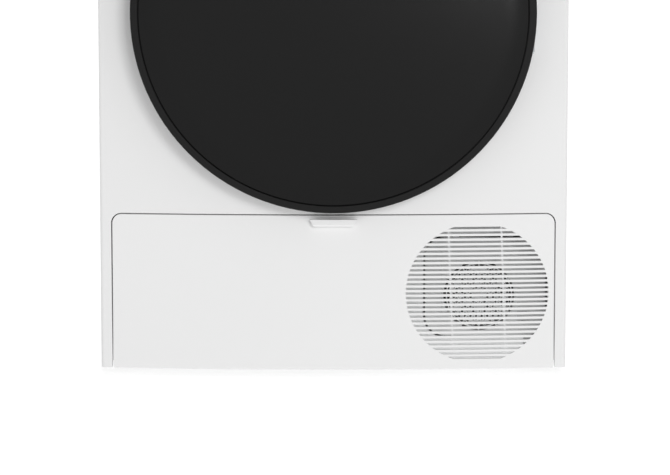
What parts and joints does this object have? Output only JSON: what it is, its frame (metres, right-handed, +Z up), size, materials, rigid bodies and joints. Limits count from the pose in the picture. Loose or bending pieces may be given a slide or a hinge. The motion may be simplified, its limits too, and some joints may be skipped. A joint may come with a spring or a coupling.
{
  "type": "clothes dryer",
  "caption": "Front-loading heat-pump clothes dryer with a round door, a service flap with a slatted grille, a rotating drum, a water tank drawer and screw-out feet.",
  "frame": {"origin": "middle of the footprint's bounding box at floor level, under the feet", "axes": "+Z up, the door faces -Y, +X is to the right seen from the front"},
  "size_m": [0.6, 0.6558, 0.85],
  "materials": {
    "black_enamel": "black painted steel",
    "black_plastic": "black moulded plastic, satin",
    "black_rubber": "black rubber",
    "black_window": "black display window",
    "bowl_glass": "pressed glass bowl",
    "bright_steel": "plated steel fittings",
    "circuit_board": "circuit board",
    "copper": "copper pipe",
    "dark_grey_plastic": "dark grey moulded plastic",
    "drum_steel": "stainless drum steel",
    "felt": "wool felt",
    "fin_aluminium": "heat exchanger fins",
    "galvanised_steel": "galvanised sheet steel",
    "light_grey_plastic": "light grey moulded plastic",
    "tinted_glass": "dark tinted flat glass",
    "white_enamel": "white powder-coated sheet steel",
    "white_plastic": "white moulded plastic",
    "worktop_laminate": "white laminate worktop"
  },
  "bodies": {
    "cabinet": {"base_tray": "light_grey_plastic", "side_panel_left": "white_enamel", "side_panel_right": "white_enamel", "front_panel": "white_enamel", "rear_panel": "galvanised_steel", "top_panel": "worktop_laminate", "rear_duct_cover": "galvanised_steel", "control_fascia": "white_plastic", "display_window": "black_window", "control_board": "circuit_board", "front_bulkhead": "light_grey_plastic", "felt_seals": "felt", "moisture_bars": "bright_steel", "rear_bearing": "dark_grey_plastic", "drum_belt": "black_rubber", "motor_housing": "galvanised_steel", "blower_housing": "dark_grey_plastic", "heat_exchangers": "fin_aluminium", "tunnel_cover": "dark_grey_plastic", "service_bulkhead": "light_grey_plastic", "exchanger_door": "light_grey_plastic", "compressor": "black_enamel", "refrigerant_pipes": "copper", "fan_shroud": "light_grey_plastic", "fan_motor": "black_plastic", "condensate_pump": "dark_grey_plastic", "condensate_hose": "light_grey_plastic", "tank_tray": "light_grey_plastic", "door_hinge_bracket": "bright_steel", "door_catch": "dark_grey_plastic", "cabinet_screws": "bright_steel", "cord_gland": "black_rubber", "drain_spigot": "dark_grey_plastic"},
    "door": {"door_frame": "black_plastic", "door_glass": "tinted_glass", "door_bowl": "bowl_glass", "door_seal": "black_rubber", "door_hinge_arm": "bright_steel", "door_hook": "bright_steel"},
    "drum": {"drum_shell": "drum_steel", "drum_rear_wall": "drum_steel", "drum_lifters": "light_grey_plastic"},
    "rotor": {"motor_rotor": "bright_steel", "blower_wheel": "black_plastic"},
    "tensioner": {"idler_arm": "galvanised_steel"},
    "tensioner_pulley": {"idler_pulley": "white_plastic"},
    "roller_left": {"front_roller_left": "light_grey_plastic"},
    "roller_right": {"front_roller_right": "light_grey_plastic"},
    "fan": {"cooling_fan": "dark_grey_plastic"},
    "tank": {"water_tank": "light_grey_plastic", "tank_front": "white_plastic"},
    "filter": {"lint_filter": "white_plastic"},
    "service_flap": {"kick_panel": "white_plastic"},
    "knob": {"programme_knob": "white_plastic"},
    "power_key": {"power_button": "white_plastic"},
    "start_key": {"start_button": "white_plastic"},
    "foot_front_left": {"foot_front_left": "black_rubber"},
    "foot_front_right": {"foot_front_right": "black_rubber"},
    "foot_rear_left": {"foot_rear_left": "black_rubber"},
    "foot_rear_right": {"foot_rear_right": "black_rubber"}
  },
  "joints": [
    {"name": "door_hinge", "type": "hinge", "parent": "cabinet", "child": "door", "pos_m": [0.2485, -0.3079, 0.48], "axis": [0, 0, 1], "range_deg": [0, 120]},
    {"name": "kick_panel_hinge", "type": "hinge", "parent": "cabinet", "child": "service_flap", "pos_m": [0, -0.2699, 0.032], "axis": [1, 0, 0], "range_deg": [0, 80]},
    {"name": "tank_slide", "type": "slide", "parent": "cabinet", "child": "tank", "axis": [0, -1, 0], "range_m": [0, 0.4]},
    {"name": "lint_filter_slide", "type": "slide", "parent": "cabinet", "child": "filter", "axis": [0, 0, 1], "range_m": [0, 0.16]},
    {"name": "knob_turn", "type": "hinge", "parent": "cabinet", "child": "knob", "pos_m": [0, -0.2899, 0.789], "axis": [0, -1, 0], "continuous": true},
    {"name": "power_press", "type": "slide", "parent": "cabinet", "child": "power_key", "axis": [0, 1, 0], "range_m": [0, 0.0015], "stiffness_N_per_m": 400, "springref_m": -0.0005},
    {"name": "start_press", "type": "slide", "parent": "cabinet", "child": "start_key", "axis": [0, 1, 0], "range_m": [0, 0.0015], "stiffness_N_per_m": 400, "springref_m": -0.0005},
    {"name": "drum_spin", "type": "hinge", "parent": "cabinet", "child": "drum", "pos_m": [0, -0.1879, 0.48], "axis": [0, 1, 0], "continuous": true},
    {"name": "motor_spin", "type": "hinge", "parent": "cabinet", "child": "rotor", "pos_m": [0.12, -0.1879, 0.105], "axis": [0, 1, 0], "continuous": true},
    {"name": "tensioner_pivot", "type": "hinge", "parent": "cabinet", "child": "tensioner", "pos_m": [0.05, -0.1879, 0.176], "axis": [0, 1, 0], "range_deg": [0, 12], "stiffness_Nm_per_rad": 5, "springref_deg": -8.59},
    {"name": "tensioner_pulley_spin", "type": "hinge", "parent": "tensioner", "child": "tensioner_pulley", "pos_m": [-0.01, -0.1879, 0.162], "axis": [0, 1, 0], "continuous": true},
    {"name": "roller_left_spin", "type": "hinge", "parent": "cabinet", "child": "roller_left", "pos_m": [-0.16178, -0.1879, 0.22109], "axis": [0, 1, 0], "continuous": true},
    {"name": "roller_right_spin", "type": "hinge", "parent": "cabinet", "child": "roller_right", "pos_m": [0.16178, -0.1879, 0.22109], "axis": [0, 1, 0], "continuous": true},
    {"name": "cooling_fan_spin", "type": "hinge", "parent": "cabinet", "child": "fan", "pos_m": [0.1887, -0.2319, 0.096], "axis": [0, 1, 0], "continuous": true},
    {"name": "foot_front_left_screw", "type": "slide", "parent": "cabinet", "child": "foot_front_left", "axis": [0, 0, -1], "range_m": [0, 0.012]},
    {"name": "foot_front_right_screw", "type": "slide", "parent": "cabinet", "child": "foot_front_right", "axis": [0, 0, -1], "range_m": [0, 0.012]},
    {"name": "foot_rear_left_screw", "type": "slide", "parent": "cabinet", "child": "foot_rear_left", "axis": [0, 0, -1], "range_m": [0, 0.012]},
    {"name": "foot_rear_right_screw", "type": "slide", "parent": "cabinet", "child": "foot_rear_right", "axis": [0, 0, -1], "range_m": [0, 0.012]}
  ],
  "couplings": [
    {"joint": "motor_spin", "follows": "drum_spin", "ratio": 27.965},
    {"joint": "tensioner_pulley_spin", "follows": "drum_spin", "ratio": 14.753},
    {"joint": "roller_left_spin", "follows": "drum_spin", "ratio": -11.2},
    {"joint": "roller_right_spin", "follows": "drum_spin", "ratio": -11.2}
  ]
}
